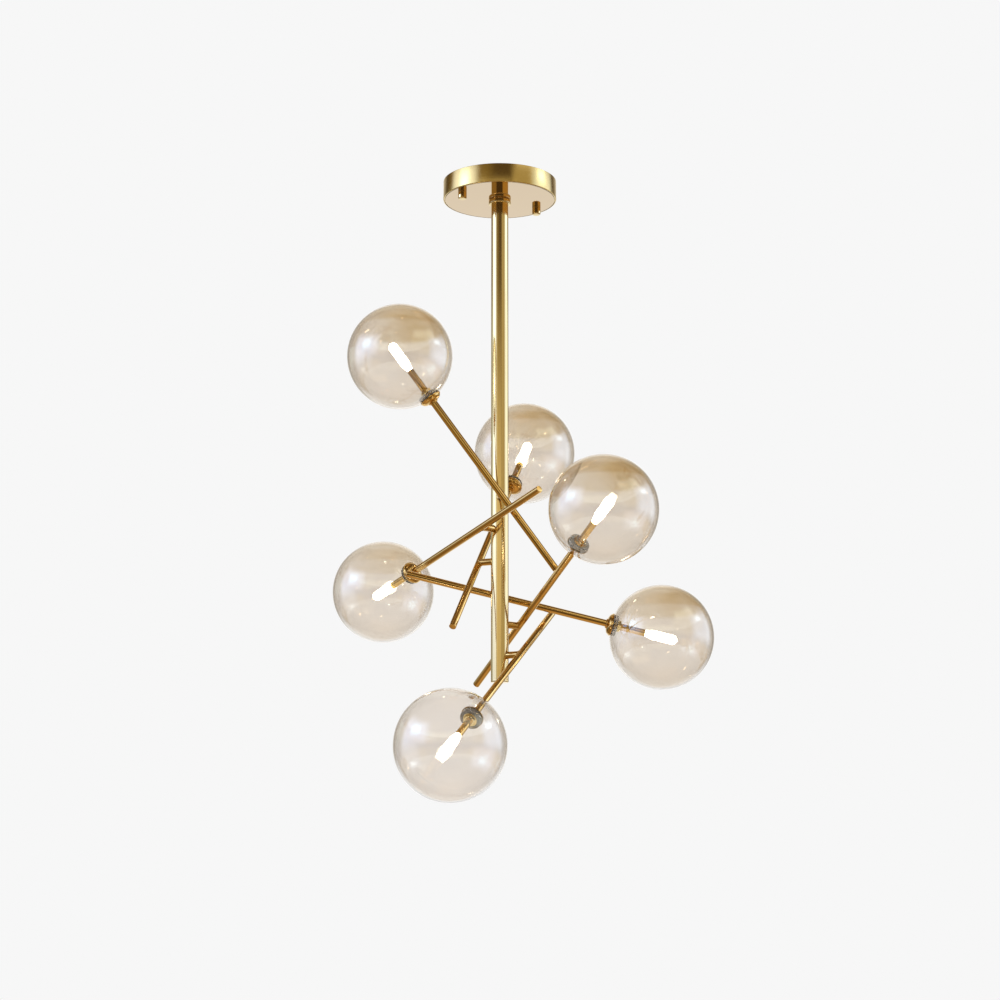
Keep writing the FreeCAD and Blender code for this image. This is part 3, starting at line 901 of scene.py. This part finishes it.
def arm_post():
    """The post: its head is cut to the tube's round, its foot steps down to the neck."""
    neck_low = flange_low + flange_thickness
    mesh = turned(rounded([
        (flange_low, 0),
        (flange_low, flange_radius, fine_edge),
        (neck_low, flange_radius, fine_edge),
        (neck_low, neck_radius),
        (post_foot, neck_radius),
        (post_foot, arm_radius, brass_edge),
        *((arm_offset, arm_radius * quarters / 4) for quarters in (4, 3, 2, 1, 0)),
    ]))
    mesh.transform(upright)
    for vertex in mesh.vertices:
        if vertex.co.z > arm_offset - 0.01 * mm:
            under = max(arm_radius ** 2 - vertex.co.y ** 2, 0)
            vertex.co.z = arm_offset - math.sqrt(under)
    mesh.set_sharp_from_angle(angle=sharp_crease)
    return mesh


saddle_bead = saddle_bead_tree()


def braze():
    mesh = grown(saddle_bead, braze_brass, {
        "Radius": arm_radius, "Tube Height": arm_offset, "Bead": bead_radius})
    mesh.shade_smooth()
    return mesh


def on_each_arm(frames, *fittings):
    """Puts pieces on each arm, and returns them.

    A fitting is a name, the function that makes it, its slot, which is not used, its materials,
    and last the name of the nodes that it stands for, if there are any.
    """
    made = []
    for number, (body, placement) in enumerate(frames.items(), 1):
        for name, make, slot, materials, *nodes in fittings:
            made.append(piece(f"{name}_{number}", make(), placement, body, materials,
                              [f"{node}_{number}" for node in nodes]))
    return made


swivels = {joint["child"]: joint for joint in frame["joints"]}
swivel_frames = {}
lamp_frames = {}
for number, rise_degrees in enumerate(arm_rises, 1):
    body = f"branch_{number}"
    out = -Vector(swivels[body]["axis"])
    rise = math.radians(rise_degrees)
    along = Vector((out.y, -out.x, 0)) * math.cos(rise) + up * math.sin(rise)
    centre = Vector((0, 0, swivels[body]["pos_m"][2]))
    swivel_frames[body] = frame_on(along, out, centre)
    lamp_frames[body] = frame_on(-along, out, centre + out * arm_offset + along * arm_reach)
on_each_arm(swivel_frames, ("arm_tube", arm_tube, "polished_brass", (arm_brass,), "arm"),
            ("arm_post", arm_post, "polished_brass", (arm_brass,), "arm"),
            ("braze", braze, "polished_brass", (braze_brass,)))

# ------------ seat cups
# A turned brass cup outside each globe clamps the glass. Its mouth has a rolled rim and its
# hub a narrow bead where the arm comes out.

globe_radius = 60 * mm
outer_seal = 1.1 * mm
cup_radius = 13 * mm
cup_rim = 1.2 * mm
cup_rim_edge = 0.35 * mm
cup_lip_step = 0.7 * mm
cup_lip_edge = 0.25 * mm
cup_lip_rise = 0.5 * mm
cup_lip_inset = 0.9 * mm
cup_height = 4.2 * mm
cup_bulge = 1.0 * mm
hub_radius = 5.6 * mm
hub_height = 1.5 * mm
hub_edge = 0.4 * mm
tube_bore = 4.05 * mm


def along_sphere(sphere_radius, out_from, out_to, steps):
    """Points on a sphere about the globe's centre, between two distances from the axis."""
    points = []
    for step in range(steps + 1):
        out = out_from + (out_to - out_from) * step / steps
        points.append(Vector((math.sqrt(sphere_radius ** 2 - out ** 2), out)))
    return points


def arc_through(start, middle, end, steps):
    """Points strictly between start and end on the arc through middle."""
    chord = (end - start) / 2
    bulge = middle - (start + end) / 2
    radius = (chord.length_squared + bulge.length_squared) / (2 * bulge.length)
    centre = middle - bulge.normalized() * radius
    swing = math.asin(min(chord.length / radius, 1))
    points = []
    for step in range(1, steps):
        turn = swing * (2 * step / steps - 1)
        points.append(centre + bulge.normalized() * radius * math.cos(turn)
                      + chord.normalized() * radius * math.sin(turn))
    return points


def seat_cup():
    inside = along_sphere(globe_radius + outer_seal, tube_bore, cup_radius, 10)
    shoulder = Vector((inside[-1].x + cup_rim, cup_radius))
    hub_foot = Vector((shoulder.x + cup_height, hub_radius))
    slope = (hub_foot - shoulder).normalized()
    dome = (shoulder + hub_foot) / 2 + Vector((-slope.y, slope.x)) * cup_bulge
    rim = rounded([
        (inside[-1].x, cup_radius),
        (shoulder.x, cup_radius, cup_rim_edge),
        (shoulder.x, cup_radius - cup_lip_step, cup_lip_edge),
        (shoulder.x + cup_lip_rise, cup_radius - cup_lip_inset),
    ])
    hub = rounded([
        (hub_foot.x, hub_radius - brass_edge, fine_edge),
        (hub_foot.x + brass_edge, hub_radius, brass_edge),
        (hub_foot.x + hub_height, hub_radius, hub_edge),
        (hub_foot.x + hub_height, tube_bore),
    ])
    return turned(inside[:-1] + rim + arc_through(rim[-1], dome, hub[0], 12) + hub, 96)


cup_brass = brass("cup_brass", arm_gold, arm_deep, roughness=0.09, clouding=0.2, lines=4000,
                  relief=0.03)
on_each_arm(lamp_frames, ("glass_cup", seat_cup, "polished_brass", (cup_brass,), "seat_cup"))

# ------------ globes
# Each globe is blown glass with a ground hole for the arm. The glass is clear, with a thin
# champagne lustre that deepens to amber over the crown. Towards the left the amber is made
# thinner: painted light, from the side where the light falls.

globe_glass = 1.5 * mm
globe_hole = 5 * mm
lip_edge = 0.35 * mm
champagne = (0.965, 0.935, 0.895, 1)
amber = (0.73, 0.59, 0.37, 1)
glass_ior = 1.48
lustre = (1.9, 2.15, 2.2, 1)

# How deep the amber is by height, from each globe's foot (-1) to its top (1), how much of it each
# globe got, and how thin it runs out towards the left, with its change over one radius. The
# thinning towards the left is painted light, not the glass's tint.
crown_depths = ((-1.0, 0.18), (0.0, 0.12), (0.25, 0.24), (0.48, 0.36), (0.54, 0.88), (0.92, 0.88),
                (0.95, 0.55), (1.0, 0.50))
crown_amounts = (0.0, 1.0, 0.8, 0.9, 0.65, 1.0)
painted_light_least = 0.45
painted_light_middle = 0.85
painted_light_change = 0.6


def glass_tint_group():
    """The tint of lustred glass: amber where the crown attribute says so, drifting a little. The
    crown attribute also carries painted light: less amber on the lit left.
    """
    group, given, result = shader_group(
        "glass_tint", (("Color", "Clear", champagne), ("Color", "Crown", amber)),
        (("Color", "Colour"),))
    crown = shader_node(group, "Attribute", attribute_name="crown").outputs["Fac"]
    drift = noise(group, own_place(group), scale=16.0, detail=2.0, Distortion=0.6)
    uneven = mapped(group, drift, 0.35, 0.65, 0.70, 1.15)
    amount = maths(group, "MULTIPLY", uneven, crown, clamp=True)
    feed(group, result, {"Colour": mixed(group, amount, given["Clear"], given["Crown"])})
    return group


amber_glass, tree, shader = new_material("amber_glass")
tint = shader_node(tree, "Group", {"Clear": champagne, "Crown": amber},
                   node_tree=glass_tint_group()).outputs["Colour"]
ripple = noise(tree, own_place(tree), scale=30.0, detail=1.0)
feed(tree, shader, {
    "Base Color": tint, "Roughness": 0.0, "IOR": glass_ior, "Specular Tint": lustre,
    "Transmission Weight": 1.0, "Normal": bumped(tree, ripple, 0.05, 1 * mm)})


def crown_depth_with_painted_light(height, side):
    """The depth of amber at a height and a distance to the right, as shares of the radius, with
    painted light: above the middle it thins towards the lit left.
    """
    depth = crown_depths[-1][1]
    for (low, low_depth), (high, high_depth) in zip(crown_depths, crown_depths[1:]):
        if height <= high:
            share = max(height - low, 0) / (high - low)
            depth = low_depth + (high_depth - low_depth) * share
            break
    # Painted light: above the middle the amber thins towards the left, where the light falls.
    if height > 0:
        depth *= min(max(painted_light_middle + side * painted_light_change, painted_light_least), 1)
    return depth


def glass_wall(radius, steps=72):
    """Points on one side of the glass, from the pole across from the hole to the hole's lip."""
    swing = math.pi - math.asin((globe_hole + lip_edge) / radius)
    points = []
    for step in range(steps + 1):
        turn = math.pi - swing * step / steps
        points.append(Vector((math.cos(turn), max(math.sin(turn), 0))) * radius)
    return points


def globe():
    outside = glass_wall(globe_radius)
    inside = glass_wall(globe_radius - globe_glass)
    lip = rounded([
        outside[-1],
        (outside[-1].x, globe_hole, lip_edge * 0.6),
        (inside[-1].x, globe_hole, lip_edge * 0.6),
        inside[-1],
    ])
    return turned(outside + lip[1:-1] + inside[::-1], 128)


globes = on_each_arm(
    lamp_frames, ("glass_globe", globe, "amber_tinted_glass", (amber_glass,), "globe"))
# The crown attribute: amber depth, with painted light thinning it on each globe's left.
for amount, glass, placement in zip(crown_amounts, globes, lamp_frames.values()):
    crown = glass.data.attributes.new("crown", "FLOAT", "POINT")
    middle = placement.translation
    crown.data.foreach_set("value", [amount * crown_depth_with_painted_light(
        (vertex.co.z - middle.z) / globe_radius, (vertex.co.x - middle.x) / globe_radius)
        for vertex in glass.data.vertices])

# ------------ seals
# A soft clear silicone ring lies on each side of the glass, and looks grey and milky there. The
# cup and the nut press the two rings onto the glass.

seal_radius = 12 * mm
seal_thickness = 4.9 * mm
seal_gap = 0.05 * mm
seal_edge = 0.6 * mm
silicone_grey = (0.97, 0.96, 0.94, 1)
silicone, tree, shader = new_material("silicone")
milk = noise(tree, own_place(tree), scale=240.0, detail=3.0)
feed(tree, shader, {
    "Base Color": silicone_grey, "Transmission Weight": 0.75, "IOR": 1.41,
    "Roughness": mapped(tree, milk, 0, 1, 0.08, 0.30)})

seal_face = globe_radius - globe_glass - seal_thickness


def seals():
    contact = globe_radius - globe_glass - seal_gap
    inner_ring = along_sphere(contact, tube_bore, seal_radius, 8)
    inner_ring += rounded([
        inner_ring[-1],
        (seal_face, seal_radius, seal_edge),
        (seal_face, tube_bore),
    ])[1:]
    low = globe_radius + seal_gap
    high = globe_radius + outer_seal - seal_gap
    outer_ring = along_sphere(low, tube_bore, seal_radius, 8) \
        + along_sphere(high, seal_radius, tube_bore, 8)
    return joined([turned(inner_ring, 72), turned(outer_ring, 72)])


on_each_arm(
    lamp_frames, ("silicone_rings", seals, "clear_silicone", (silicone,), "globe_seals"))

# ------------ nuts and washers
# A brass hexagon nut with a plain washer clamps the glass from inside, on the thread that is cut
# on the arm's tube.

washer_radius = 8 * mm
washer_thickness = 1 * mm
nut_flats = 12 * mm
nut_height = 3.2 * mm
nut_face_share = 0.985
nut_slope = math.tan(math.radians(30))
nut_crease = math.radians(20)
nut_steps = 72
arm_pitch = 1.0 * mm
thread_stand = 0.02 * mm
nut_face = seal_face - washer_thickness
nut_back = nut_face - nut_height


def hex_nut():
    """A hexagon nut along X with turned chamfers on its free end, which points to the globe."""
    half = nut_flats / 2
    rings = [[], [], [], [], []]
    for step in range(nut_steps):
        turn = 2 * math.pi * step / nut_steps
        past_flat = (turn + math.pi / 6) % (math.pi / 3) - math.pi / 6
        edge = half / math.cos(past_flat)
        spots = ((nut_face, edge), (nut_back + (edge - half) * nut_slope, edge),
                 (nut_back, half * nut_face_share), (nut_back, tube_bore), (nut_face, tube_bore))
        for ring, (along, out) in zip(rings, spots):
            ring.append((along, out * math.cos(turn), out * math.sin(turn)))
    return smoothed(skinned(rings), nut_crease)


def clamp():
    washer = turned(rounded([
        (nut_face, tube_bore),
        (nut_face, washer_radius, nut_edge),
        (nut_face + washer_thickness, washer_radius, nut_edge),
        (nut_face + washer_thickness, tube_bore),
    ]))
    return joined([washer, hex_nut()])


def arm_thread():
    thread = thread_along(arm_brass, arm_end, arm_radius + thread_stand, arm_pitch,
                          nut_back - arm_end - brass_edge)
    thread.shade_smooth()
    return thread


on_each_arm(lamp_frames, ("clamp_nut", clamp, "polished_brass", (turned_brass,), "globe_nut"),
            ("arm_thread", arm_thread, "polished_brass", (arm_brass,)))

# ------------ lamp sleeves and holders
# A thin brass sleeve with a rolled mouth carries the arm's line on to the bulb. The two-pin
# holder in it is white ceramic.

sleeve_radius = 4 * mm
sleeve_wall = 0.5 * mm
sleeve_roll = 0.225 * mm
sleeve_length = 27 * mm
sleeve_top = arm_end - 0.05 * mm
sleeve_mouth = sleeve_top - sleeve_length
ceramic_white = (0.84, 0.82, 0.77, 1)


def sleeve():
    return turned(rounded([
        (sleeve_top, sleeve_radius, fine_edge),
        (sleeve_mouth, sleeve_radius, sleeve_roll),
        (sleeve_mouth, sleeve_radius - sleeve_wall, sleeve_roll),
        (sleeve_top, sleeve_radius - sleeve_wall),
    ]))


on_each_arm(lamp_frames, ("bulb_sleeve", sleeve, "polished_brass", (cup_brass,), "lamp_sleeve"))
dress(moulded("holder_ceramic", ceramic_white, roughness=0.55, grain=500.0),
      *(f"lampholder_{number}" for number in range(1, len(arm_rises) + 1)))

# ------------ bulbs
# A frosted two-pin capsule, lit. It leaves the sleeve as a narrow neck, swells to its full
# width and ends in a dome with the small nipple where the glass was drawn off.

bulb_radius = 5.5 * mm
bulb_length = 38.5 * mm
bulb_taper = 10 * mm
bulb_shoulder = 6 * mm
bulb_base_radius = 3.3 * mm
bulb_base_edge = 0.3 * mm
bulb_neck_edge = 0.6 * mm
bulb_base = sleeve_mouth + 0.95 * mm
bulb_nipple = 0.9 * mm
bulb_drop = ((0.1 * mm, bulb_nipple), (0.6 * mm, bulb_nipple * 0.6), (0.8 * mm, 0))
pin_radius = 0.35 * mm
pin_edge = 0.1 * mm
pin_length = 7 * mm
pin_offset = 2 * mm
lit_white = (1.0, 0.93, 0.80, 1)
lit_amber = (1.0, 0.86, 0.66, 1)
frost_white = (0.92, 0.90, 0.86, 1)
lit_strength = 9.0

lit_glass, tree, shader = new_material("lit_frosted_glass")
frost = noise(tree, own_place(tree), scale=400.0, detail=2.0)
feed(tree, shader, {
    "Base Color": frost_white, "Roughness": 0.35, "Emission Strength": lit_strength,
    "Emission Color": mixed(tree, frost, lit_white, lit_amber)})


def bulb_glass():
    tip = sleeve_mouth - bulb_length
    dome_centre = tip + bulb_radius
    outline = rounded([
        (bulb_base, 0),
        (bulb_base, bulb_base_radius, bulb_base_edge),
        (sleeve_mouth, bulb_base_radius, bulb_neck_edge),
        (sleeve_mouth - bulb_taper, bulb_radius, bulb_shoulder),
        (dome_centre, bulb_radius),
    ])
    for step in range(1, 12):
        turn = math.pi / 2 * (1 - step / 12)
        if bulb_radius * math.sin(turn) > bulb_nipple * 1.5:
            outline.append((dome_centre - bulb_radius * math.cos(turn),
                            bulb_radius * math.sin(turn)))
    outline += [(tip - rise, out) for rise, out in bulb_drop]
    return turned(outline)


def bulb():
    glass = bulb_glass()
    pins = []
    for side in (-1, 1):
        pin = turned(rounded([
            (bulb_base, 0),
            (bulb_base, pin_radius),
            (bulb_base + pin_length, pin_radius, pin_edge),
            (bulb_base + pin_length, 0),
        ]), 16)
        pin.transform(Matrix.Translation((0, side * pin_offset, 0)))
        pins.append(pin)
    mesh = joined([glass, *pins])
    for face in mesh.polygons[len(glass.polygons):]:
        face.material_index = 1
    return mesh


on_each_arm(lamp_frames, ("capsule_bulb", bulb, "lit_bulb_glass", (lit_glass, zinc), "bulb"))
